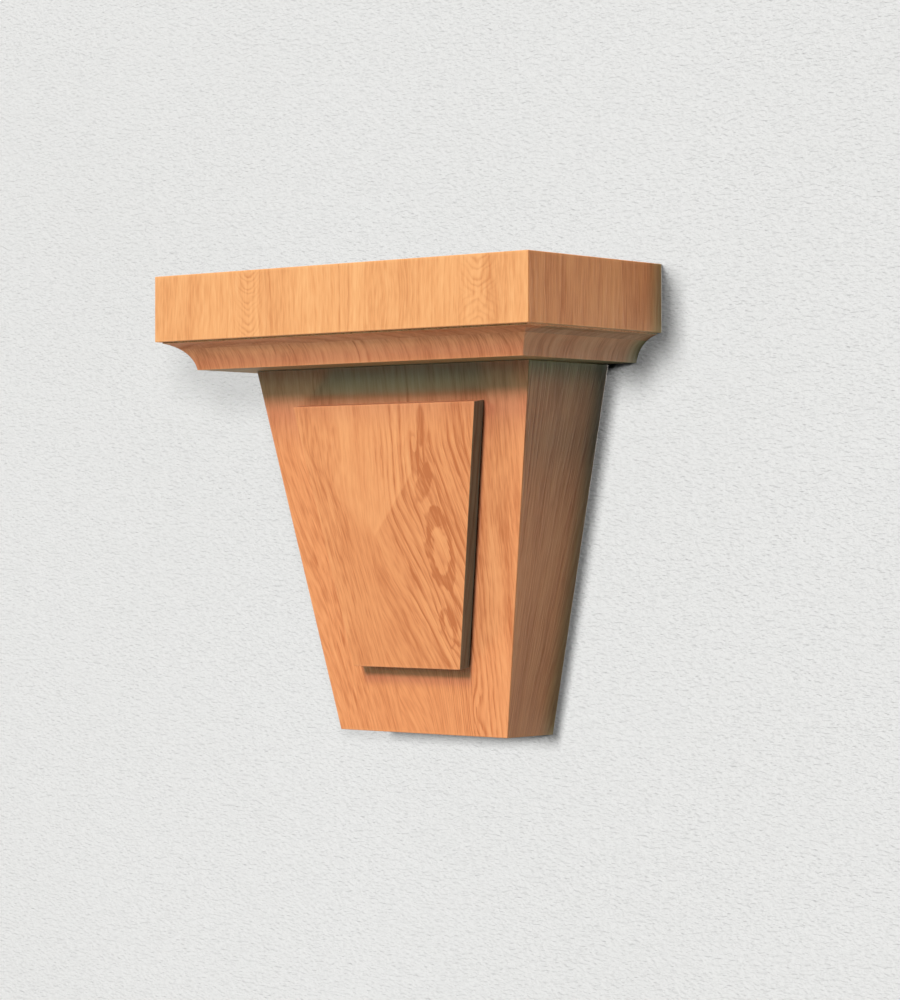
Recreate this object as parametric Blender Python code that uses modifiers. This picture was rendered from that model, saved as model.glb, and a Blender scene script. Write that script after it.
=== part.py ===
"""Corbel shelf in solid oak: a thick shelf cap, a coved board under it, a tapered body and a raised panel.

The backs of the cap, the coved board and the body lie in one plane, y = 0, against the wall. The front faces -Y.
The origin is on that plane, in the middle of the body's back. Metres, +Z up.
"""

import math

import bmesh
import bpy

COLLECTION = "corbel_shelf"

# Shelf cap
CAP_WIDTH = 0.305
CAP_DEPTH = 0.1295
CAP_THICKNESS = 0.0417

# Coved board: its lip stands back from the cap's edge, and its foot stands back further by the cove's projection
CAP_OVERHANG = 0.0035
COVE_LIP = 0.0006
COVE_DROP = 0.0167
COVE_PROJECTION = 0.0157
COVE_SWEEP = math.radians(69.0)
COVE_STEPS = 14

# Tapered body
BODY_HEIGHT = 0.2293
BODY_TOP_WIDTH = 0.224
BODY_TOP_DEPTH = 0.078
BODY_FOOT_WIDTH = 0.1373
BODY_FOOT_DEPTH = 0.0453

# Raised panel on the leaning front; its margins are measured along that face
PANEL_THICKNESS = 0.0092
PANEL_TOP_MARGIN = 0.0230
PANEL_FOOT_MARGIN = 0.0434
PANEL_SIDE_MARGIN = 0.033

# Glue line between two pieces, and the eased arris of a sawn piece
GLUE_LINE = 0.0003
ARRIS = 0.0005
ARRIS_SEGMENTS = 2
ARRIS_FROM_ANGLE = math.radians(30.0)
WELD_DISTANCE = 0.00001

# Levels of the upper faces
BODY_TOP = BODY_HEIGHT / 2
COVE_THICKNESS = COVE_LIP + COVE_DROP
COVE_TOP = BODY_TOP + GLUE_LINE + COVE_THICKNESS
CAP_TOP = COVE_TOP + GLUE_LINE + CAP_THICKNESS

# Finish: sanded oak with a satin oil
OAK_ROUGHNESS = 0.5
CAP_OAK = (0.80, 0.39, 0.17, 1.0)
COVE_OAK = (0.66, 0.29, 0.12, 1.0)
BODY_OAK = (0.72, 0.30, 0.12, 1.0)
PANEL_OAK = (0.76, 0.33, 0.14, 1.0)


def clear_scene():
    for obj in list(bpy.data.objects):
        bpy.data.objects.remove(obj, do_unlink=True)


def new_collection(name):
    collection = bpy.data.collections.new(name)
    bpy.context.scene.collection.children.link(collection)
    return collection


def oak(name, colour):
    material = bpy.data.materials.new(name)
    material.use_nodes = True
    surface = material.node_tree.nodes["Principled BSDF"]
    surface.inputs["Base Color"].default_value = colour
    surface.inputs["Roughness"].default_value = OAK_ROUGHNESS
    surface.inputs["Metallic"].default_value = 0.0
    return material


def block_mesh(width, depth, height):
    """Box that hangs from the origin, its back in the plane y = 0 and its upper face in the plane z = 0."""
    block = bmesh.new()
    bmesh.ops.create_cube(block, size=1.0)
    bmesh.ops.scale(block, vec=(width, depth, height), verts=block.verts)
    bmesh.ops.translate(block, vec=(0.0, -depth / 2, -height / 2), verts=block.verts)
    return block


def lowest_face(block):
    return min(block.faces, key=lambda face: face.calc_center_median().z)


def shape_lowest_face(block, width, depth, level):
    """Gives the lowest face this width and depth and puts it at this level, its back edge staying at the wall."""
    face = lowest_face(block)
    old_depth = -min(corner.co.y for corner in face.verts)
    for corner in face.verts:
        corner.co.x = math.copysign(width / 2, corner.co.x)
        corner.co.y *= depth / old_depth
        corner.co.z = level


def ease_arrises(obj):
    bevel = obj.modifiers.new("eased_arrises", "BEVEL")
    bevel.width = ARRIS
    bevel.segments = ARRIS_SEGMENTS
    bevel.limit_method = "ANGLE"
    bevel.angle_limit = ARRIS_FROM_ANGLE


def block_object(name, block, level, material, collection):
    """Object made from a block whose upper face lies at this level."""
    mesh = bpy.data.meshes.new(name)
    block.to_mesh(mesh)
    block.free()
    mesh.materials.append(material)
    obj = bpy.data.objects.new(name, mesh)
    obj.location.z = level
    collection.objects.link(obj)
    return obj


def shelf_cap(collection):
    block = block_mesh(CAP_WIDTH, CAP_DEPTH, CAP_THICKNESS)
    cap = block_object("shelf_cap", block, CAP_TOP, oak("cap_oak", CAP_OAK), collection)
    ease_arrises(cap)


def cove_points():
    """(setback, drop) pairs down the hollow arc, both measured from the lip's lower edge."""
    chord = math.hypot(COVE_PROJECTION, COVE_DROP)
    radius = chord / (2 * math.sin(COVE_SWEEP / 2))
    first = math.atan2(COVE_DROP, COVE_PROJECTION) - COVE_SWEEP / 2
    for step in range(1, COVE_STEPS + 1):
        slope = first + COVE_SWEEP * step / COVE_STEPS
        setback = radius * (math.sin(slope) - math.sin(first))
        drop = radius * (math.cos(first) - math.cos(slope))
        yield setback, drop


def coved_board(collection):
    """One board with the cove worked along its front and both ends, and left square at the wall."""
    width = CAP_WIDTH - 2 * CAP_OVERHANG
    depth = CAP_DEPTH - CAP_OVERHANG
    board = block_mesh(width, depth, COVE_LIP)
    for setback, drop in cove_points():
        bmesh.ops.extrude_discrete_faces(board, faces=[lowest_face(board)])
        shape_lowest_face(board, width - 2 * setback, depth - setback, -COVE_LIP - drop)
    board_object = block_object("coved_board", board, COVE_TOP, oak("cove_oak", COVE_OAK), collection)
    board_object.data.shade_smooth()
    board_object.data.set_sharp_from_angle(angle=ARRIS_FROM_ANGLE)


def tapered_body(collection):
    block = block_mesh(BODY_TOP_WIDTH, BODY_TOP_DEPTH, BODY_HEIGHT)
    shape_lowest_face(block, BODY_FOOT_WIDTH, BODY_FOOT_DEPTH, -BODY_HEIGHT)
    body = block_object("tapered_body", block, BODY_TOP, oak("body_oak", BODY_OAK), collection)
    ease_arrises(body)


def panel_corners(front_length):
    """Corners of the panel's outline, x across and y up the leaning front from the front's upper edge."""
    corners = []
    for run, sides in ((PANEL_TOP_MARGIN, (-1, 1)), (front_length - PANEL_FOOT_MARGIN, (1, -1))):
        front_width = BODY_TOP_WIDTH - (BODY_TOP_WIDTH - BODY_FOOT_WIDTH) * run / front_length
        corners += [(side * (front_width / 2 - PANEL_SIDE_MARGIN), -run) for side in sides]
    return corners


def raised_panel(collection):
    """Flat panel with a square edge, planted on the body's leaning front and tapering with it."""
    lean = math.atan2(BODY_TOP_DEPTH - BODY_FOOT_DEPTH, BODY_HEIGHT)
    front_length = BODY_HEIGHT / math.cos(lean)
    outline = bpy.data.curves.new("raised_panel", "CURVE")
    outline.dimensions = "2D"
    outline.fill_mode = "BOTH"
    outline.extrude = PANEL_THICKNESS / 2
    outline.materials.append(oak("panel_oak", PANEL_OAK))
    spline = outline.splines.new("POLY")
    corners = panel_corners(front_length)
    spline.points.add(len(corners) - 1)
    for point, (x, y) in zip(spline.points, corners):
        point.co = (x, y, 0.0, 1.0)
    spline.use_cyclic_u = True

    panel = bpy.data.objects.new("raised_panel", outline)
    stand_off = GLUE_LINE + PANEL_THICKNESS / 2
    panel.location.y = -BODY_TOP_DEPTH - stand_off * math.cos(lean)
    panel.location.z = BODY_TOP - stand_off * math.sin(lean)
    panel.rotation_euler.x = math.radians(90.0) + lean
    collection.objects.link(panel)
    weld = panel.modifiers.new("closed_caps", "WELD")
    weld.merge_threshold = WELD_DISTANCE
    ease_arrises(panel)


def main():
    clear_scene()
    collection = new_collection(COLLECTION)
    shelf_cap(collection)
    coved_board(collection)
    tapered_body(collection)
    raised_panel(collection)


main()
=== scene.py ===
"""Corbel shelf in oiled oak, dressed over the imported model: cap, coved board, tapered body and raised panel.

The backs of the pieces lie in the plane y = 0, against the wall, and the front faces -Y. Metres, +Z up.
"""

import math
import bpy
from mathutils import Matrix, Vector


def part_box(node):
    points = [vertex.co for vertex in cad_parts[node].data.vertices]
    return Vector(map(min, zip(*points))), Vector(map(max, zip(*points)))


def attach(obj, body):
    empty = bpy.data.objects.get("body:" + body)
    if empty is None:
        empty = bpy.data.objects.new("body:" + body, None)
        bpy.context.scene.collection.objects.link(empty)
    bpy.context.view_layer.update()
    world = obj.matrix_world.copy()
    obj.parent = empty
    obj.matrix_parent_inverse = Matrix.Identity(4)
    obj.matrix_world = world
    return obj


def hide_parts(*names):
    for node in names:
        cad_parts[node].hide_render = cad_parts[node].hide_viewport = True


bl_info = {
    "name": "Oak Corbel Shelf",
    "version": (1, 0, 0),
    "blender": (4, 5, 0),
    "location": "3D View > Sidebar > Corbel Shelf",
    "description": "Models an oak corbel shelf over its packed frame and sets up its wall, light and camera",
    "category": "Object",
}

import bmesh
import bpy
from bpy.props import FloatProperty, FloatVectorProperty, PointerProperty
from mathutils import Vector

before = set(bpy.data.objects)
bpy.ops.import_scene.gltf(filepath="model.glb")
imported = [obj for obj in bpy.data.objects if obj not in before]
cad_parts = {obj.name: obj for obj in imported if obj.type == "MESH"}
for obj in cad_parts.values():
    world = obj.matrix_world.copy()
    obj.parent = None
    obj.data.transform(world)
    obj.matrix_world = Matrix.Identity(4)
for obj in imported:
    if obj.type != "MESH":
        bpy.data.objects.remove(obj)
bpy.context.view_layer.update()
CAP_LOW, CAP_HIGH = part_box("shelf_cap")
COVE_LOW, COVE_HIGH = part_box("coved_board")
BODY_LOW, BODY_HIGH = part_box("tapered_body")

PIECES = ("cap_board", "cove_board", "corbel_body", "front_panel")

# What is left of the glue line where the cap sits tight on the coved board
CLOSED_JOINT = 0.00003

# Steps of the modelling: flats of the cove and of an arris, and the loop that keeps a face flat beside them
COVE_STEPS = 28
ARRIS_SEGMENTS = 4
FLAT_MARGIN = 0.002
SAME_LEVEL = 0.00001
SHARP_FROM = math.radians(40.0)
SMOOTH_UNDER = math.radians(30.0)
FLAT_FACE_WEIGHT = 100

# A face whose normal stands up or down more than this shows end grain
END_GRAIN_FROM = 0.8

# Camera: level, at the height of the body's middle, looking along a line 40 degrees off the wall's normal
CAMERA_PLACE = (1.2851, -1.5406, 0.0145)
CAMERA_TURN = math.radians(40.173)
CAMERA_LENS_MM = 113.28
CAMERA_SENSOR_MM = 36.0
CAMERA_RISE = 0.0275


class Socket:
    """Output of a shader node. Arithmetic on sockets adds Math nodes beside it."""

    def __init__(self, tree, output):
        self.tree = tree
        self.output = output

    def node(self, kind, settings=None, sockets=None, output=0):
        """Adds a node of this kind: settings are set first, then the sockets get their values or links."""
        node = self.tree.nodes.new(kind)
        for name, value in (settings or {}).items():
            setattr(node, name, value)
        for key, value in (sockets or {}).items():
            if isinstance(value, Socket):
                self.tree.links.new(value.output, node.inputs[key])
            else:
                node.inputs[key].default_value = value
        return Socket(self.tree, node.outputs[output])

    def maths(self, operation, *values):
        return self.node("ShaderNodeMath", {"operation": operation}, dict(enumerate(values)))

    def __add__(self, other):
        return self.maths("ADD", self, other)

    def __sub__(self, other):
        return self.maths("SUBTRACT", self, other)

    def __rsub__(self, other):
        return self.maths("SUBTRACT", other, self)

    def __mul__(self, other):
        return self.maths("MULTIPLY", self, other)

    def __truediv__(self, other):
        return self.maths("DIVIDE", self, other)

    def __neg__(self):
        return self.maths("MULTIPLY", self, -1.0)

    __radd__ = __add__
    __rmul__ = __mul__

    def fraction(self):
        return self.maths("FRACT", self)

    def size(self):
        return self.maths("ABSOLUTE", self)

    def root(self):
        return self.maths("SQRT", self)

    def least(self, other):
        return self.maths("MINIMUM", self, other)

    def most(self, other):
        return self.maths("MAXIMUM", self, other)

    def bell(self):
        """Bell curve of the value, one at zero."""
        return self.maths("EXPONENT", self.maths("MULTIPLY", self, -self))

    def rise(self, low, high):
        """Goes smoothly from 0 at low to 1 at high."""
        sockets = {"Value": self, "From Min": low, "From Max": high}
        return self.node("ShaderNodeMapRange", {"interpolation_type": "SMOOTHSTEP"}, sockets)

    def noise(self, deep, up, detail=2.0, roughness=0.5):
        """Even noise between 0 and 1, with this value as its place across the grain."""
        place = self.node("ShaderNodeCombineXYZ", {}, {0: self, 1: deep, 2: up})
        sockets = {"Vector": place, "Scale": 1.0, "Detail": detail, "Roughness": roughness}
        return self.node("ShaderNodeTexNoise", {"noise_dimensions": "3D"}, sockets)

    def blend(self, first, second, mode="MIX"):
        """Mixes two colours by this value."""
        settings = {"data_type": "RGBA", "blend_type": mode}
        return self.node("ShaderNodeMix", settings, {0: self, 6: first, 7: second}, output=2)

    def parts(self):
        """The three numbers of a vector."""
        return tuple(self.node("ShaderNodeSeparateXYZ", {}, {0: self}, output=axis) for axis in range(3))

    def own(self, name):
        """Value that the piece's own mesh holds under this name."""
        return self.node("ShaderNodeAttribute", {"attribute_name": name}, output="Fac")


def new_finish(name):
    """Empty material, its shader node and a socket with the place on the piece."""
    material = bpy.data.materials.new(name)
    material.use_nodes = True
    tree = material.node_tree
    surface = tree.nodes["Principled BSDF"]
    place = Socket(tree, tree.nodes.new("ShaderNodeTexCoord").outputs["Object"])
    return material, surface, place


def rgba(colour):
    return (*colour, 1.0)


# Share of the tone's red, green and blue that the dark early wood and the pale late wood have
EARLY_WOOD = (0.70, 0.54, 0.43)
LATE_WOOD = (1.16, 1.33, 1.42)

# How a piece is cut: where across its fibres stand upright again, how far they wave, and the rings' width
PLAIN_GRAIN = {"upright_from": 0.1, "waviness": 0.012, "ring_width": 0.0052}
BODY_GRAIN = {"upright_from": 0.005, "waviness": 0.006, "ring_width": 0.0040}

# Swells in the trunk, round which the rings close: middle across and up, half width and height, tilt, and the
# rings lifted
SWELLS = {
    "cove_flame": (-0.063, 0.075, 0.011, 0.032, 0.0, 4.0),
    "foot_swirl": (-0.050, -0.070, 0.012, 0.040, -0.3, 1.2),
    "cove_crown": (0.1150, 0.118, 0.011, 0.022, 0.0, 4.5),
    "cap_bend": (0.036, 0.146, 0.010, 0.016, 0.0, -1.2),
    "panel_knot": (0.0270, 0.043, 0.0060, 0.014, 0.35, 1.0),
    "panel_eye": (0.0355, 0.001, 0.0085, 0.025, -0.10, 2.4),
    "panel_tail": (0.0375, -0.047, 0.0060, 0.014, -0.12, 1.5),
    "foot_flame": (0.0455, -0.100, 0.006, 0.014, 0.0, 1.6),
}

# Dark figures on the panel's right half: middle across and up, half width and height, tilt, and how far out
# each starts to fade and is gone, in shares of its oval. The eye has a pale heart and a dark rim.
PANEL_FIGURES = {
    "brow": (0.0350, 0.0215, 0.0060, 0.0080, 0.0, 0.80, 1.05),
    "knot": (0.0285, 0.042, 0.0066, 0.0125, 0.40, 0.80, 1.05),
    "tail": (0.0385, -0.046, 0.0070, 0.0140, -0.10, 0.75, 1.00),
    "tail_heart": (0.0380, -0.048, 0.0034, 0.0100, -0.10, 0.75, 1.00),
    "stroke": (0.0300, 0.0775, 0.0036, 0.0135, 0.10, 0.70, 1.10),
    "veil": (0.0235, 0.0580, 0.0052, 0.0170, -0.15, 0.60, 1.20),
    "island": (0.0235, 0.0655, 0.0022, 0.0050, 0.0, 0.70, 1.10),
}
EYE = (0.0365, 0.001, 0.0105, 0.0255, -0.12)
EYE_HEART = (0.50, 0.68)
EYE_RIM = (0.50, 0.66, 0.90, 1.10)

# Nested lines on the front of the cap: chevrons that point up, and a crown that is mirrored about a level
CAP_FIGURES = (
    {
        "middle": -0.070, "drift": 1.0, "level": 0.0, "blunt": 0.0000015, "slope": 0.55, "curl": 40.0,
        "wobble": 0.010, "spacing": 0.0042, "half_width": 0.0085, "peak": 0.35, "gone": 0.80,
        "darkness": 0.74, "variety": 1.6,
    },
    {
        "middle": 0.1144, "drift": -1.0, "level": 0.152, "blunt": 0.000008, "slope": 0.85, "curl": 0.0,
        "wobble": 0.009, "spacing": 0.0050, "half_width": 0.0110, "peak": 0.30, "gone": 0.75,
        "darkness": 0.58, "variety": 1.3,
    },
)
FIGURE_DRIFT = 0.007

# Broad bands of darker and paler wood down the cap: place across, half width and darkness
CAP_BANDS = ((-0.142, 0.010, 0.26), (-0.096, 0.012, -0.30), (0.044, 0.009, 0.36), (0.104, 0.024, -0.38))

# Levels over which the grain of the coved board gives way to the cap's
ONTO_CAP = (0.131, 0.134)

# Two dark growth lines that run down from the cap to the panel: their places across, and where they fade out
DARK_LINES = (0.0060, 0.0135)
DARK_LINE_HALF_WIDTH = 0.0010
DARK_LINE_FOOT = (0.030, 0.045)

# Pale notch in the panel, over which the fibres stand upright: its tip across and up, the rise of its
# borders, the level that they reach, and how pale it is
NOTCH_ACROSS, NOTCH_UP, NOTCH_RISE, NOTCH_TOP = -0.0155, 0.0086, 1.12, 0.066
NOTCH_PALENESS = 0.60

# Slant of the fibres, as the shift across for each metre down: on the front under the notch, and on the sides
# from near the front to near the wall. Each bend is rounded off over its softness.
FRONT_SLANT, FRONT_BEND = 0.33, 0.004
FRONT_SLANT_FROM, UPRIGHT_FADE = (-0.150, -0.070), 0.040
SIDE_SLANT, SIDE_SLANT_TURN, SIDE_SLANT_OVER = 0.12, 0.26, (-0.078, -0.010)
SIDE_BEND_LEVEL, SIDE_BEND = 0.10, 0.02

# Heart of the trunk, which lies behind the wall and which the rings on the end grain run round
PITH_X, PITH_Y = -0.07, 0.16
RING_TURN = 0.25

# Noise in the grain, in waves per metre across the fibres, into the wood and along them
BROAD_WAVE = (16.0, 8.0, 9.0)
FINE_WAVE = (90.0, 30.0, 30.0)
FINE_WAVE_REACH = 0.0022
STREAK = (360.0, 60.0, 20.0)
DASH = (330.0, 60.0, 75.0)
DASH_SHIFT = 0.12
BLOT = (170.0, 60.0, 110.0)
PORE = (1000.0, 200.0, 95.0)
END_PORE_DEPTH = 3.5
BAND = (60.0, 10.0, 3.0)
CLOUD = (30.0, 20.0, 18.0)
RAY_DEPTH, RAY_ACROSS = 420.0, 12.0

# Parts of the front, as the places or levels over which each fades in or out. The bold grain starts at a
# line that leans.
BOLD_LEAN, BOLD_FROM, BOLD_UNTIL, BOLD_TOP = 0.25, (-0.006, 0.010), (0.055, 0.075), (0.060, 0.085)
LEFT_FROM, LEFT_UNTIL, LEFT_TOP = (-0.090, -0.075), (-0.045, -0.030), (0.07, 0.10)
FLAME_PLACES, FLAME_FOOT = ((-0.065, 0.012), (0.118, 0.014)), (0.10, 0.13)
SIDE_LINES_UNTIL, SIDE_LINES_TOP = (-0.074, -0.044), (0.112, 0.116)
FRONT_FROM = (-0.012, -0.002)

# Painted shade and light on the sides: share of each colour that the sides keep of the front's
CAP_SIDE_PAINTED_SHADING = (1.02, 0.85, 0.64)
COVE_SIDE_PAINTED_SHADING = (1.24, 1.12, 0.98)
BODY_SIDE_PAINTED_SHADING = (0.95, 0.83, 0.61)
PANEL_SIDE_PAINTED_SHADING = (0.50, 0.70, 0.82)

# Painted shade: share of each colour that is left where the sides darken towards the wall and along the wall
# itself, over these depths. The left side darkens less along the wall.
PAINTED_SIDE_BACK_SHADE, SIDE_BACK_OVER = (0.86, 0.88, 0.93), (-0.130, 0.0)
PAINTED_WALL_EDGE_SHADE, WALL_EDGE_OVER = (0.53, 0.94, 0.98), (-0.018, 0.002)
WALL_EDGE_LEFT, LEFT_TO_RIGHT = 0.35, (-0.02, 0.02)

# Painted shade: share of each colour that is left where the body is painted darker close under the cove, over
# these levels, but not near the front's right edge nor on the back
PAINTED_SHADE_UNDER_COVE, PAINTED_SIDE_SHADE_UNDER_COVE, UNDER_COVE_OVER = (0.70, 0.92, 1.04), (0.62, 0.80, 0.74), (0.084, 0.112)
UNSHADED_RIGHT, UNSHADED_BACK = (0.066, 0.088), (-0.004, -0.001)
# Painted shade on the body's sides just under the cove, over these levels
PAINTED_COVE_CONTACT_SHADE, COVE_CONTACT_OVER = (0.36, 0.64, 0.44), (0.0985, 0.117)

# Share of each colour that the coved board's sawn underside keeps as painted shade, and that its lip has as
# painted light close under the cap, each between two fades. The lip is less pale on the sides.
PAINTED_UNDERSIDE_SHADE, UNDERSIDE_FROM, UNDERSIDE_UNTIL = (0.46, 0.74, 0.68), (0.1130, 0.1135), (0.119, 0.120)
PAINTED_LIP_LIGHT, PALE_LIP_FROM, PALE_LIP_UNTIL = (1.35, 1.50, 1.38), (0.1313, 0.1317), (0.1325, 0.1326)
PALE_LIP_SIDE_LOSS = 0.7

# Relief of the pores, in metres, and how far the pores and the early wood change the gloss
RELIEF_STRENGTH, RELIEF_DEPTH = 0.25, 0.0002
GLOSS_CHANGE = 0.08


def grain_noise(waves, across, deep, up, detail=1.0, roughness=0.5):
    """Noise with these many waves per metre across the fibres, into the wood and along the fibres."""
    across_waves, deep_waves, up_waves = waves
    return (across * across_waves).noise(deep * deep_waves, up * up_waves, detail, roughness)


def below(level, up, softness):
    """How far a point lies under a level, rounded off to nothing above it."""
    gap = level - up
    return (gap + (gap * gap + softness * softness).root()) * 0.5


def oval(across, up, middle, height, half_width, half_height, tilt):
    """Distance from the middle of an oval figure, one on its outline."""
    aside = (across - middle - (up - height) * tilt) / half_width
    aloft = (up - height) / half_height
    return (aside * aside + aloft * aloft).root()


def notch_border(across):
    """Level of the pale notch's slanting border at a place across."""
    return (across - NOTCH_ACROSS).size() * NOTCH_RISE + NOTCH_UP


def lean(across, up, front, side, upright_from):
    """How far the fibres have leaned aside at this height. Right of a place they stand upright again."""
    leaning = across.rise(*FRONT_SLANT_FROM) * (1.0 - across.rise(upright_from, upright_from + UPRIGHT_FADE))
    on_front = below(notch_border(across).least(NOTCH_TOP), up, FRONT_BEND) * leaning * FRONT_SLANT
    side_slant = SIDE_SLANT - across.rise(*SIDE_SLANT_OVER) * SIDE_SLANT_TURN
    on_side = below(SIDE_BEND_LEVEL, up, SIDE_BEND) * side_slant
    return front * on_front + side * on_side


def nested_lines(across, up, jitter, uneven, wander, figure):
    """Nested arrow lines of one figure on the cap, and how far the figure covers the plain grain."""
    axis = across + wander * figure["drift"] - figure["middle"]
    aside = (axis * axis + figure["blunt"]).root()
    climb = (up - figure["level"]).size() - aside * figure["slope"] - aside * aside * figure["curl"]
    turn = ((climb + uneven * figure["wobble"]) / figure["spacing"] + jitter).fraction()
    line = turn.rise(0.0, figure["peak"]) * (1.0 - turn.rise(figure["peak"], figure["gone"]))
    cover = (aside / figure["half_width"]).bell() * up.rise(*ONTO_CAP)
    return line * cover * (figure["darkness"] + uneven * figure["variety"]), cover


def cap_marks(across, up, jitter):
    """Chevrons and crossed crown that the rings draw on the front of the cap, and how far they cover it."""
    uneven = (up * 130.0).noise(across * 40.0, 3.0, 1.0) - 0.5
    wander = ((up * 75.0).noise(8.0, 3.0, 1.0) - 0.5) * FIGURE_DRIFT
    figures = [nested_lines(across, up, jitter, uneven, wander, figure) for figure in CAP_FIGURES]
    (chevrons, chevron_cover), (crown, crown_cover) = figures
    return (chevrons + crown).most(0.0), (chevron_cover + crown_cover).least(1.0)


def panel_marks(across, up, jitter):
    """Dark figures on the panel's right half, and how far they cover the plain grain."""
    dark = {}
    for name, (*shape, fading, gone) in PANEL_FIGURES.items():
        dark[name] = 1.0 - (oval(across, up, *shape) + jitter).rise(fading, gone)
    eye = oval(across, up, *EYE) + jitter
    heart = 1.0 - eye.rise(*EYE_HEART)
    rim = eye.rise(*EYE_RIM[:2]) * (1.0 - eye.rise(*EYE_RIM[2:]))
    marks = rim.most(dark["knot"] * 0.85).most(dark["brow"]).most((dark["tail"] - dark["tail_heart"]) * 0.75)
    marks = marks.most(dark["stroke"] * 0.90).most(dark["veil"] * 0.80 - dark["island"] * 0.90) - heart * 0.12
    return marks, (heart + rim + dark["knot"] + dark["tail"] * 0.6).least(1.0)


def pale_notch(across, up, front, jitter):
    """Pale notch, crisp along its right border and soft along its left one."""
    inside = up - notch_border(across) + jitter * 0.006
    crisp = across.rise(-0.022, -0.012)
    notch = inside.rise(-0.001, 0.002) * crisp + inside.rise(-0.012, 0.007) * (1.0 - crisp)
    notch = front * notch * across.rise(-0.060, -0.04) * (1.0 - across.rise(0.0175, 0.0215))
    return notch * (1.0 - up.rise(0.10, 0.13) * 0.7)


def oak_depth(place, grain):
    """Darkness of the wood, below zero in the pale late wood, and its open pores."""
    x, y, up = place.parts()
    side, end = place.own("side_grain"), place.own("end_grain")
    flat = 1.0 - side - end
    front = flat * (1.0 - y.rise(*FRONT_FROM))
    on_cap = front * up.rise(*ONTO_CAP)
    aside, behind = x - PITH_X, PITH_Y - y
    radius = (aside * aside + behind * behind).root()
    along_ring = aside.maths("ARCTAN2", aside, behind) * RING_TURN
    across = flat * x + side * y + end * radius
    deep = flat * y + side * x + end * along_ring

    fibre = across - lean(across, up, front, side, grain["upright_from"])
    fibre = fibre + (grain_noise(BROAD_WAVE, fibre, deep, up, 2.0) - 0.5) * grain["waviness"]
    fibre = fibre + (grain_noise(FINE_WAVE, fibre, deep, up) - 0.5) * FINE_WAVE_REACH
    rings = fibre / grain["ring_width"]
    for middle, height, half_width, half_height, tilt, lift in SWELLS.values():
        aside = (across - middle - (up - height) * tilt) / half_width
        rings = rings + front * aside.bell() * ((up - height) / half_height).bell() * lift

    streak = grain_noise(STREAK, fibre, deep, up, 1.0, 0.6)
    dash = grain_noise(DASH, fibre, deep, up + DASH_SHIFT, 1.0, 0.6)
    blot = grain_noise(BLOT, across, deep, up)
    pores = grain_noise(PORE, fibre, deep * (1.0 + end * END_PORE_DEPTH), up)
    rays = (deep * RAY_DEPTH).noise(fibre * RAY_ACROSS, 5.0, 1.0)
    band = grain_noise(BAND, fibre, deep, up)
    cloud = grain_noise(CLOUD, across, deep, up, 2.0)
    jitter = (streak - 0.5) * 0.6 + (pores - 0.5) * 0.3

    # The rings, each darker or paler than the next, and stronger in some parts
    bold = front * (across + up * BOLD_LEAN).rise(*BOLD_FROM) * (1.0 - up.rise(*BOLD_TOP))
    bold = bold * (1.0 - across.rise(*BOLD_UNTIL))
    flames = sum(((across - middle) / half_width).bell() for middle, half_width in FLAME_PLACES)
    flames = front * flames * up.rise(*FLAME_FOOT)
    side_lines = side * (1.0 - across.rise(*SIDE_LINES_UNTIL)) * (1.0 - up.rise(*SIDE_LINES_TOP))
    turn = (rings + jitter).fraction()
    uneven = ((rings - rings.fraction()) * 7.31).noise(deep * 3.0, up * 5.0, 1.0)
    early = turn.rise(0.0, 0.10) * (1.0 - turn.rise(0.24, 0.50))
    strength = 0.20 + bold * 0.80 + flames * 0.45 + end * 0.6 + side_lines * 0.75
    depth = early * strength * (0.45 + uneven.rise(0.3, 0.7) * 0.55)

    # The figures of the panel and the cap, which cover the rings
    marks, cover = panel_marks(across, up, jitter * 0.30 + (blot - 0.5) * 0.75)
    depth = depth * (1.0 - front * cover * 0.75) + front * marks
    marks, cover = cap_marks(across, up, jitter * 0.25 + (blot - 0.5) * 0.9)
    depth = depth * (1.0 - front * cover * 0.8) + front * marks

    # The pores, the short dashes on the left, the broad bands and the dark lines
    open_pores = (streak.rise(0.30, 0.70) - 0.5) * 0.60 + (pores.rise(0.3, 0.7) - 0.5) * (0.36 + front * 0.30)
    depth = depth + open_pores * (1.0 - front * 0.15 * (1.0 - bold) - front * cover * 0.3)
    left = front * across.rise(*LEFT_FROM) * (1.0 - across.rise(*LEFT_UNTIL)) * (1.0 - up.rise(*LEFT_TOP))
    depth = depth + (dash.rise(0.30, 0.70) - 0.58) * left * 0.7
    depth = depth - (band - 0.5) * 1.5 + (cloud - 0.5) * 0.8
    for line in DARK_LINES:
        depth = depth + front * ((fibre - line) / DARK_LINE_HALF_WIDTH).bell() * up.rise(*DARK_LINE_FOOT)
    for middle, half_width, darkness in CAP_BANDS:
        depth = depth + on_cap * ((fibre - middle) / half_width).bell() * darkness

    depth = depth * (1.0 - on_cap * 0.25)
    depth = depth * (1.0 - end * 0.45) + end * (0.30 - rays.rise(0.52, 0.75) * 0.22)
    return depth - pale_notch(across, up, front, jitter) * NOTCH_PALENESS + 0.03, open_pores


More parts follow.
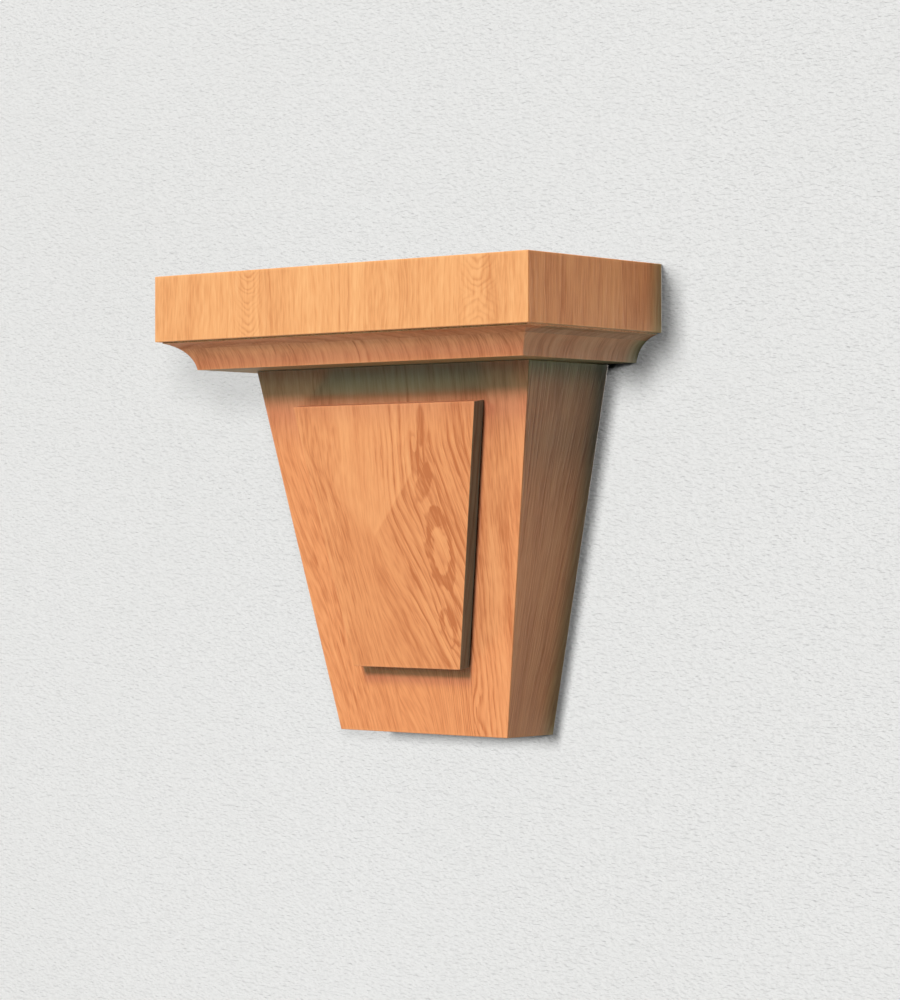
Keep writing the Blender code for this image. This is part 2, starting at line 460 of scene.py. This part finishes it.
def oak(name, look, tone, painted_side_shading, grain=PLAIN_GRAIN, under_cove=False):
    """Oiled oak with upright grain, cut from one trunk for all the pieces, with painted shade and light on its
    sides, along the wall and close under the cove.
    """
    material, surface, place = new_finish(name)
    x, deep, up = place.parts()
    side, end = place.own("side_grain"), place.own("end_grain")
    depth, open_pores = oak_depth(place, grain)
    early, late = (rgba(map(float.__mul__, tone, shares)) for shares in (EARLY_WOOD, LATE_WOOD))
    wood = depth.blend(rgba(tone), early)
    wood = (-depth).blend(wood, late)
    wood = (place.own("worn") * look.wear).blend(wood, late)

    # Painted shade and light over the grain: the sides darker or lighter, darker towards and along the wall,
    # the coved board's underside darker and its lip paler
    right = WALL_EDGE_LEFT + x.rise(*LEFT_TO_RIGHT) * (1.0 - WALL_EDGE_LEFT)
    lip = up.rise(*PALE_LIP_FROM) * (1.0 - up.rise(*PALE_LIP_UNTIL))
    shares = [
        (side, painted_side_shading),
        (side * deep.rise(*SIDE_BACK_OVER), PAINTED_SIDE_BACK_SHADE),
        (side * deep.rise(*WALL_EDGE_OVER) * right, PAINTED_WALL_EDGE_SHADE),
        (end * up.rise(*UNDERSIDE_FROM) * (1.0 - up.rise(*UNDERSIDE_UNTIL)), PAINTED_UNDERSIDE_SHADE),
        (lip * (1.0 - side * PALE_LIP_SIDE_LOSS), PAINTED_LIP_LIGHT),
    ]
    # Painted shade on the body close under the cove, on the front and the sides
    if under_cove:
        cove_painted_shade = up.rise(*UNDER_COVE_OVER) * (1.0 - deep.rise(*UNSHADED_BACK))
        shares.append((cove_painted_shade * (1.0 - side) * (1.0 - x.rise(*UNSHADED_RIGHT)), PAINTED_SHADE_UNDER_COVE))
        shares.append((cove_painted_shade * side, PAINTED_SIDE_SHADE_UNDER_COVE))
        shares.append((side * up.rise(*COVE_CONTACT_OVER), PAINTED_COVE_CONTACT_SHADE))
    for amount, share in shares:
        wood = amount.blend(wood, rgba(share), "MULTIPLY")

    tree = material.node_tree
    tree.links.new(wood.output, surface.inputs["Base Color"])
    roughness = look.roughness + depth * GLOSS_CHANGE + open_pores * GLOSS_CHANGE
    tree.links.new(roughness.output, surface.inputs["Roughness"])
    height = 0.5 - open_pores - depth * 0.3
    relief = {"Strength": RELIEF_STRENGTH, "Distance": RELIEF_DEPTH, "Height": height}
    bump = place.node("ShaderNodeBump", {}, relief)
    tree.links.new(bump.output, surface.inputs["Normal"])
    return material


def deselect():
    bpy.ops.object.select_all(action="DESELECT")


def start_block(name, low, high):
    """Box from one corner to the other, left in edit mode with nothing selected."""
    deselect()
    low, high = Vector(low), Vector(high)
    bpy.ops.mesh.primitive_cube_add(size=1.0, location=(low + high) / 2, scale=high - low)
    block = bpy.context.active_object
    block.name = block.data.name = name
    bpy.ops.object.transform_apply(location=True, rotation=True, scale=True)
    bpy.ops.object.mode_set(mode="EDIT")
    bpy.ops.mesh.select_mode(type="FACE")
    bpy.ops.mesh.select_all(action="DESELECT")
    return block


def select_faces(block, chosen):
    """Selects only the faces that are chosen by their middle and normal."""
    bpy.ops.mesh.select_all(action="DESELECT")
    shape = bmesh.from_edit_mesh(block.data)
    for face in shape.faces:
        if chosen(face.calc_center_median(), face.normal):
            face.select_set(True)
    bmesh.update_edit_mesh(block.data)


def select_lowest(block):
    shape = bmesh.from_edit_mesh(block.data)
    level = min(face.calc_center_median().z for face in shape.faces)
    select_faces(block, lambda middle, normal: middle.z < level + SAME_LEVEL)


def taper_lowest(block, across, deep):
    """Narrows the lowest face about the middle of the wall plane, so its back edge stays at the wall."""
    select_lowest(block)
    bpy.ops.transform.resize(value=(across, deep, 1.0), center_override=(0.0, 0.0, 0.0))


def mark_worn(block, lowest_only=False):
    """Wears the edges of every face, or of the lowest alone, but not the selected faces inside them."""
    shape = bmesh.from_edit_mesh(block.data)
    worn = shape.verts.layers.float.new("worn")
    level = min(corner.co.z for corner in shape.verts) + SAME_LEVEL
    for corner in shape.verts:
        corner[worn] = float(not corner.select and (corner.co.z < level or not lowest_only))
    bmesh.update_edit_mesh(block.data)


def ease_edges(block, arris):
    """Rounds the sharp edges and lays a loop beside them that keeps the flat faces flat."""
    select_faces(block, lambda middle, normal: True)
    bpy.ops.mesh.inset(thickness=FLAT_MARGIN, use_individual=True)
    mark_worn(block)
    bpy.ops.mesh.select_all(action="DESELECT")
    bpy.ops.mesh.select_mode(type="EDGE")
    bpy.ops.mesh.edges_select_sharp(sharpness=SHARP_FROM)
    bpy.ops.mesh.bevel(offset=arris, offset_type="OFFSET", segments=ARRIS_SEGMENTS, affect="EDGES")


def mark_grain(block):
    """Notes on each face whether its grain is seen from the side of the shelf or on the end of the fibres."""
    shape = bmesh.from_edit_mesh(block.data)
    side, end = (shape.faces.layers.float.new(name) for name in ("side_grain", "end_grain"))
    for face in shape.faces:
        across, deep, up = (abs(part) for part in face.normal)
        face[end] = float(up > END_GRAIN_FROM)
        face[side] = float(up <= END_GRAIN_FROM and across > deep)
    bmesh.update_edit_mesh(block.data)


def finish_block(block, material, node):
    """Leaves edit mode, shades the piece and puts it on the object in place of its node."""
    mark_grain(block)
    bpy.ops.object.mode_set(mode="OBJECT")
    bpy.ops.object.shade_smooth_by_angle(angle=SMOOTH_UNDER)
    normals = block.modifiers.new("flat_faces", "WEIGHTED_NORMAL")
    normals.weight = FLAT_FACE_WEIGHT
    normals.keep_sharp = True
    bpy.ops.object.modifier_apply(modifier=normals.name)
    block.data.materials.clear()
    block.data.materials.append(material)
    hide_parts(node)
    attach(block, "root")


class CorbelSizes(bpy.types.PropertyGroup):
    """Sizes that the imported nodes' boxes don't give."""

    cove_lip: FloatProperty(
        name="Cove lip",
        description="Height of the square lip over the cove",
        default=0.0006,
        unit="LENGTH",
        precision=4,
    )
    cove_projection: FloatProperty(
        name="Cove projection",
        description="How far the cove's foot stands back",
        default=0.0157,
        unit="LENGTH",
        precision=4,
    )
    cove_sweep: FloatProperty(
        name="Cove sweep",
        description="Angle swept by the cove's arc",
        default=math.radians(69.0),
        subtype="ANGLE",
    )
    foot_width: FloatProperty(
        name="Foot width", description="Width of the body's foot", default=0.1373, unit="LENGTH", precision=4
    )
    foot_depth: FloatProperty(
        name="Foot depth", description="Depth of the body's foot", default=0.0453, unit="LENGTH", precision=4
    )
    panel_thickness: FloatProperty(
        name="Panel thickness",
        description="Thickness of the raised panel",
        default=0.0092,
        unit="LENGTH",
        precision=4,
    )
    panel_top: FloatProperty(
        name="Margin over panel",
        description="Margin along the leaning front",
        default=0.0230,
        unit="LENGTH",
        precision=4,
    )
    panel_foot: FloatProperty(
        name="Margin under panel",
        description="Margin along the leaning front",
        default=0.0434,
        unit="LENGTH",
        precision=4,
    )
    panel_side: FloatProperty(
        name="Margin beside panel",
        description="Margin on each side of the panel",
        default=0.033,
        unit="LENGTH",
        precision=4,
    )
    glue_line: FloatProperty(
        name="Glue line",
        description="Gap between the body and its panel",
        default=0.0003,
        unit="LENGTH",
        precision=4,
    )
    arris: FloatProperty(
        name="Arris", description="Width of the eased edges", default=0.0005, unit="LENGTH", precision=4
    )


class OakLook(bpy.types.PropertyGroup):
    """Colours and gloss of the oak."""

    cap_tone: FloatVectorProperty(
        name="Cap",
        description="Oak of the cap",
        default=(0.80, 0.393, 0.181),
        subtype="COLOR",
        size=3,
        min=0,
        max=1,
    )
    cove_tone: FloatVectorProperty(
        name="Coved board",
        description="Oak of the coved board",
        default=(0.715, 0.316, 0.148),
        subtype="COLOR",
        size=3,
        min=0,
        max=1,
    )
    body_tone: FloatVectorProperty(
        name="Body",
        description="Oak of the tapered body",
        default=(0.822, 0.352, 0.168),
        subtype="COLOR",
        size=3,
        min=0,
        max=1,
    )
    panel_tone: FloatVectorProperty(
        name="Panel",
        description="Oak of the raised panel",
        default=(0.778, 0.336, 0.159),
        subtype="COLOR",
        size=3,
        min=0,
        max=1,
    )
    roughness: FloatProperty(
        name="Roughness", description="Roughness of the oiled surface", default=0.5, min=0.0, max=1.0
    )
    wear: FloatProperty(
        name="Wear",
        description="How pale the arrises have worn",
        default=0.3,
        min=0.0,
        max=1.0,
        subtype="FACTOR",
    )


class CORBEL_OT_shelf_cap(bpy.types.Operator):
    """Models the thick square-edged cap"""

    bl_idname = "corbel.shelf_cap"
    bl_label = "Shelf cap"

    def execute(self, context):
        sizes, look = context.scene.corbel_sizes, context.scene.corbel_oak
        cap = start_block("cap_board", CAP_LOW, CAP_HIGH)
        ease_edges(cap, sizes.arris)
        wood = oak("cap_oak_finish", look, look.cap_tone, CAP_SIDE_PAINTED_SHADING)
        finish_block(cap, wood, "shelf_cap")
        return {"FINISHED"}


def cove_steps(sizes, drop):
    """(setback, drop) pairs down the hollow arc, both measured from the lip's lower edge."""
    chord = math.hypot(sizes.cove_projection, drop)
    radius = chord / (2 * math.sin(sizes.cove_sweep / 2))
    first = math.atan2(drop, sizes.cove_projection) - sizes.cove_sweep / 2
    for step in range(1, COVE_STEPS + 1):
        slope = first + sizes.cove_sweep * step / COVE_STEPS
        yield radius * (math.sin(slope) - math.sin(first)), radius * (math.cos(first) - math.cos(slope))


class CORBEL_OT_coved_board(bpy.types.Operator):
    """Models the board with a cove along its front and both ends"""

    bl_idname = "corbel.coved_board"
    bl_label = "Coved board"

    def execute(self, context):
        sizes, look = context.scene.corbel_sizes, context.scene.corbel_oak
        lip_low = (COVE_LOW.x, COVE_LOW.y, COVE_HIGH.z - sizes.cove_lip)
        lip_high = (COVE_HIGH.x, COVE_HIGH.y, CAP_LOW.z - CLOSED_JOINT)
        board = start_block("cove_board", lip_low, lip_high)
        half_width, depth = COVE_HIGH.x, -COVE_LOW.y
        drop = COVE_HIGH.z - sizes.cove_lip - COVE_LOW.z
        width_now, depth_now, fallen = half_width, depth, 0.0
        for setback, fall in cove_steps(sizes, drop):
            select_lowest(board)
            bpy.ops.mesh.extrude_region_move(TRANSFORM_OT_translate={"value": (0.0, 0.0, fallen - fall)})
            taper_lowest(board, (half_width - setback) / width_now, (depth - setback) / depth_now)
            width_now, depth_now, fallen = half_width - setback, depth - setback, fall
        select_lowest(board)
        bpy.ops.mesh.inset(thickness=FLAT_MARGIN)
        mark_worn(board, lowest_only=True)
        wood = oak("cove_oak_finish", look, look.cove_tone, COVE_SIDE_PAINTED_SHADING)
        finish_block(board, wood, "coved_board")
        return {"FINISHED"}


class CORBEL_OT_tapered_body(bpy.types.Operator):
    """Models the tapered block that carries the shelf"""

    bl_idname = "corbel.tapered_body"
    bl_label = "Tapered body"

    def execute(self, context):
        sizes, look = context.scene.corbel_sizes, context.scene.corbel_oak
        body = start_block("corbel_body", BODY_LOW, BODY_HIGH)
        taper_lowest(body, sizes.foot_width / (BODY_HIGH.x - BODY_LOW.x), sizes.foot_depth / -BODY_LOW.y)
        ease_edges(body, sizes.arris)
        wood = oak("body_oak_finish", look, look.body_tone, BODY_SIDE_PAINTED_SHADING, BODY_GRAIN, under_cove=True)
        finish_block(body, wood, "tapered_body")
        return {"FINISHED"}


class CORBEL_OT_raised_panel(bpy.types.Operator):
    """Models the flat panel on the body's leaning front"""

    bl_idname = "corbel.raised_panel"
    bl_label = "Raised panel"

    def execute(self, context):
        sizes, look = context.scene.corbel_sizes, context.scene.corbel_oak
        width, depth = BODY_HIGH.x - BODY_LOW.x, -BODY_LOW.y
        height = BODY_HIGH.z - BODY_LOW.z
        tilt = math.atan2(depth - sizes.foot_depth, height)
        length = height / math.cos(tilt)
        top_half_width, foot_half_width = (
            (width - (width - sizes.foot_width) * run / length) / 2 - sizes.panel_side
            for run in (sizes.panel_top, length - sizes.panel_foot)
        )
        back = BODY_LOW.y - sizes.glue_line
        low = (-top_half_width, back - sizes.panel_thickness, BODY_HIGH.z - length + sizes.panel_foot)
        high = (top_half_width, back, BODY_HIGH.z - sizes.panel_top)
        panel = start_block("front_panel", low, high)
        taper_lowest(panel, foot_half_width / top_half_width, 1.0)
        bpy.ops.mesh.select_all(action="SELECT")
        hinge = (0.0, BODY_LOW.y, BODY_HIGH.z)
        bpy.ops.transform.rotate(value=-tilt, orient_axis="X", orient_type="GLOBAL", center_override=hinge)
        ease_edges(panel, sizes.arris)
        wood = oak("panel_oak_finish", look, look.panel_tone, PANEL_SIDE_PAINTED_SHADING)
        finish_block(panel, wood, "raised_panel")
        return {"FINISHED"}


# Wall close behind the shelf, and the floor under both
WALL_GAP = 0.0004
WALL_HALF_WIDTH = 1.3
WALL_TOP = 1.3
FLOOR_LEVEL = -1.2
FLOOR_FRONT = -2.6

# Lamps: azimuth from straight out of the wall, the right being positive, elevation, and strength in red,
# green and blue
SHELF_LAMPS = {
    "front": (0, 30, (0.707, 0.491, 0.475)),
    "front_high": (0, 45, (0.412, 0.470, 0.221)),
    "right_high": (80, 60, (0.43, 0.365, 0.33)),
    "left": (-40, 10, (0.125, 0.170, 0.130)),
    "left_low": (-80, -40, (0.327, 0.153, 0.072)),
    "front_low": (-20, -40, (0.10, 0.15, 0.17)),
}
BOUNCE_LAMPS = {
    "bounce_front": (-20, -15, (0.552, 0.730, 0.751)),
    "bounce_high": (-60, 60, (0.999, 0.367, 0.0)),
}
WALL_LAMPS = {
    "wall_left": (-5.0, 4.0, (0.51, 0.51, 0.51)),
    "wall_high": (-5.0, 10.0, (0.33, 0.33, 0.33)),
    "wall_right": (40, 8.0, (0.28, 0.28, 0.28)),
}
WALL_AIR_LAMPS = {"wall_air": (15, 28, (0.225, 0.234, 0.243))}
FLOOR_LAMPS = {"floor_top": (0, 60, (1.1, 1.1, 1.1))}
BACK_LAMPS = {"back": (180, 0, (0.85, 0.78, 0.72))}

# Angles that the lamps fill, in degrees, and so how soft their shadows are
SHELF_SPREAD = 14.0
WALL_SPREAD = 9.0
AIR_SPREAD = 90.0

# Relief of the rolled plaster: its bumps per metre, how they are squeezed in each direction, and its depth
PLASTER_BUMPS = 420.0
PLASTER_SQUEEZE = (0.62, 1.0, 1.35)
PLASTER_RELIEF = 0.0020

# Two shades that a stage surface drifts between, and how often in a metre
PLASTER_SHADES = ((0.78, 0.78, 0.765), (0.82, 0.82, 0.81))
PLASTER_DRIFT = 3.0
FLOOR_SHADES = ((0.74, 0.74, 0.73), (0.80, 0.80, 0.79))
FLOOR_DRIFT = 4.0
BOUNCE_GREY = (0.8, 0.8, 0.8)
AIR_GREY = (0.80, 0.80, 0.79)


def one_sided(material, surface, place):
    """Lets the back of a stage plane be seen through."""
    tree = material.node_tree
    backing = place.node("ShaderNodeNewGeometry", {}, {}, output="Backfacing")
    clear = place.node("ShaderNodeBsdfTransparent")
    face = Socket(tree, surface.outputs[0])
    both = place.node("ShaderNodeMixShader", {}, {0: backing, 1: face, 2: clear})
    tree.links.new(both.output, tree.nodes["Material Output"].inputs["Surface"])


def plaster():
    """Pale wall plaster with a fine rolled relief."""
    material, surface, place = new_finish("wall_plaster")
    rolled = place.node("ShaderNodeVectorMath", {"operation": "MULTIPLY"}, {0: place, 1: PLASTER_SQUEEZE})
    coarse = place.node("ShaderNodeTexNoise", {}, {"Vector": rolled, "Scale": PLASTER_BUMPS, "Detail": 2.0})
    broad = place.node("ShaderNodeTexNoise", {}, {"Vector": place, "Scale": PLASTER_DRIFT, "Detail": 1.0})
    shade = broad.blend(*map(rgba, PLASTER_SHADES))
    tree = material.node_tree
    tree.links.new(shade.output, surface.inputs["Base Color"])
    surface.inputs["Roughness"].default_value = 0.9
    surface.inputs["Specular IOR Level"].default_value = 0.0
    bump = place.node("ShaderNodeBump", {}, {"Strength": 1.0, "Distance": PLASTER_RELIEF, "Height": coarse})
    tree.links.new(bump.output, surface.inputs["Normal"])
    one_sided(material, surface, place)
    return material


def bounce_finish():
    """Grey of the unseen wall that throws light back onto the shelf."""
    material, surface, _ = new_finish("bounce_grey")
    surface.inputs["Base Color"].default_value = rgba(BOUNCE_GREY)
    surface.inputs["Roughness"].default_value = 1.0
    surface.inputs["Specular IOR Level"].default_value = 0.0
    return material


def floor_finish():
    """Plain pale matt floor."""
    material, surface, place = new_finish("pale_floor")
    broad = place.node("ShaderNodeTexNoise", {}, {"Vector": place, "Scale": FLOOR_DRIFT, "Detail": 2.0})
    shade = broad.blend(*map(rgba, FLOOR_SHADES))
    material.node_tree.links.new(shade.output, surface.inputs["Base Color"])
    surface.inputs["Roughness"].default_value = 0.8
    one_sided(material, surface, place)
    return material


def stage_plane(name, corners, material):
    """Flat rectangle of the stage, its front on the side from which the corners run anticlockwise."""
    mesh = bpy.data.meshes.new(name)
    mesh.from_pydata(corners, [], [(0, 1, 2, 3)])
    mesh.materials.append(material)
    plane = bpy.data.objects.new(name, mesh)
    bpy.context.scene.collection.objects.link(plane)
    return plane


def linked(name, objects):
    """Collection that lamps are linked to."""
    collection = bpy.data.collections.new(name)
    for item in objects:
        collection.objects.link(item)
    return collection


def hang_lamps(lamps, spread, lit, shading=None):
    """Soft distant lamps that light one collection, and are shaded by everything or by one collection."""
    for name, (azimuth, elevation, strength) in lamps.items():
        light = bpy.data.lights.new(name, "SUN")
        light.angle = math.radians(spread)
        light.energy = math.pi * max(strength)
        light.color = [share / max(strength) for share in strength]
        lamp = bpy.data.objects.new(name, light)
        turn, height = math.radians(azimuth), math.radians(elevation)
        level = math.cos(height)
        beam = Vector((-math.sin(turn) * level, math.cos(turn) * level, -math.sin(height)))
        lamp.rotation_euler = beam.to_track_quat("-Z", "Y").to_euler()
        lamp.light_linking.receiver_collection = lit
        lamp.light_linking.blocker_collection = shading
        bpy.context.scene.collection.objects.link(lamp)


def studio_air():
    """Pale surroundings that the camera sees and that give no light."""
    world = bpy.data.worlds.new("studio_air")
    world.use_nodes = True
    tree = world.node_tree
    back = tree.nodes["Background"]
    seen = Socket(tree, tree.nodes.new("ShaderNodeLightPath").outputs["Is Camera Ray"])
    back.inputs["Color"].default_value = rgba(AIR_GREY)
    tree.links.new(seen.output, back.inputs["Strength"])
    return world


class CORBEL_OT_stage(bpy.types.Operator):
    """Sets up the wall, the floor, the lamps and the camera"""

    bl_idname = "corbel.stage"
    bl_label = "Stage"

    def execute(self, context):
        scene = context.scene
        side, top, low, gap = WALL_HALF_WIDTH, WALL_TOP, FLOOR_LEVEL, WALL_GAP
        corners = [(-side, gap, low), (side, gap, low), (side, gap, top), (-side, gap, top)]
        wall = stage_plane("wall", corners, plaster())
        bounce = stage_plane("bounce_wall", corners, bounce_finish())
        front = FLOOR_FRONT
        corners = [(-side, front, low), (side, front, low), (side, gap, low), (-side, gap, low)]
        floor = stage_plane("floor", corners, floor_finish())
        pieces = [bpy.data.objects[name] for name in PIECES]

        # The wall that is seen takes only its own lamps, and the shelf's bounced light is from the unseen one
        bounce.visible_camera = False
        for plane in (wall, floor):
            plane.visible_diffuse = plane.visible_glossy = False
            plane.visible_transmission = plane.visible_shadow = False
        for piece in pieces:
            piece.visible_diffuse = False

        shelf = linked("shelf_pieces", pieces)
        hang_lamps(SHELF_LAMPS, SHELF_SPREAD, shelf)
        hang_lamps(BACK_LAMPS, SHELF_SPREAD, shelf, shelf)
        hang_lamps(BOUNCE_LAMPS, SHELF_SPREAD, linked("unseen_wall", [bounce]), shelf)
        seen_wall = linked("seen_wall", [wall])
        hang_lamps(WALL_LAMPS, WALL_SPREAD, seen_wall, shelf)
        hang_lamps(WALL_AIR_LAMPS, AIR_SPREAD, seen_wall, shelf)
        hang_lamps(FLOOR_LAMPS, SHELF_SPREAD, linked("seen_floor", [floor]), shelf)
        scene.world = studio_air()

        camera_data = bpy.data.cameras.new("camera")
        camera_data.lens = CAMERA_LENS_MM
        camera_data.sensor_width = CAMERA_SENSOR_MM
        camera_data.shift_y = CAMERA_RISE
        camera = bpy.data.objects.new("camera", camera_data)
        camera.location = CAMERA_PLACE
        camera.rotation_euler = (math.radians(90.0), 0.0, CAMERA_TURN)
        scene.collection.objects.link(camera)
        scene.camera = camera
        scene.view_settings.view_transform = "Standard"
        return {"FINISHED"}


class CORBEL_PT_sidebar(bpy.types.Panel):
    """Lists the shelf's sizes, colours and pieces"""

    bl_idname = "CORBEL_PT_sidebar"
    bl_label = "Corbel Shelf"
    bl_space_type = "VIEW_3D"
    bl_region_type = "UI"
    bl_category = "Corbel Shelf"

    def draw(self, context):
        for group in (context.scene.corbel_sizes, context.scene.corbel_oak):
            box = self.layout.box()
            for name in type(group).__annotations__:
                box.prop(group, name)
        for operator in OPERATORS:
            self.layout.operator(operator.bl_idname)


OPERATORS = (
    CORBEL_OT_shelf_cap,
    CORBEL_OT_coved_board,
    CORBEL_OT_tapered_body,
    CORBEL_OT_raised_panel,
    CORBEL_OT_stage,
)
CLASSES = (CorbelSizes, OakLook, *OPERATORS, CORBEL_PT_sidebar)


def register():
    for item in CLASSES:
        bpy.utils.register_class(item)
    bpy.types.Scene.corbel_sizes = PointerProperty(type=CorbelSizes)
    bpy.types.Scene.corbel_oak = PointerProperty(type=OakLook)


def unregister():
    del bpy.types.Scene.corbel_oak
    del bpy.types.Scene.corbel_sizes
    for item in reversed(CLASSES):
        bpy.utils.unregister_class(item)


def main():
    register()
    for step in (
        bpy.ops.corbel.shelf_cap,
        bpy.ops.corbel.coved_board,
        bpy.ops.corbel.tapered_body,
        bpy.ops.corbel.raised_panel,
        bpy.ops.corbel.stage,
    ):
        step()


if __name__ == "__main__":
    main()
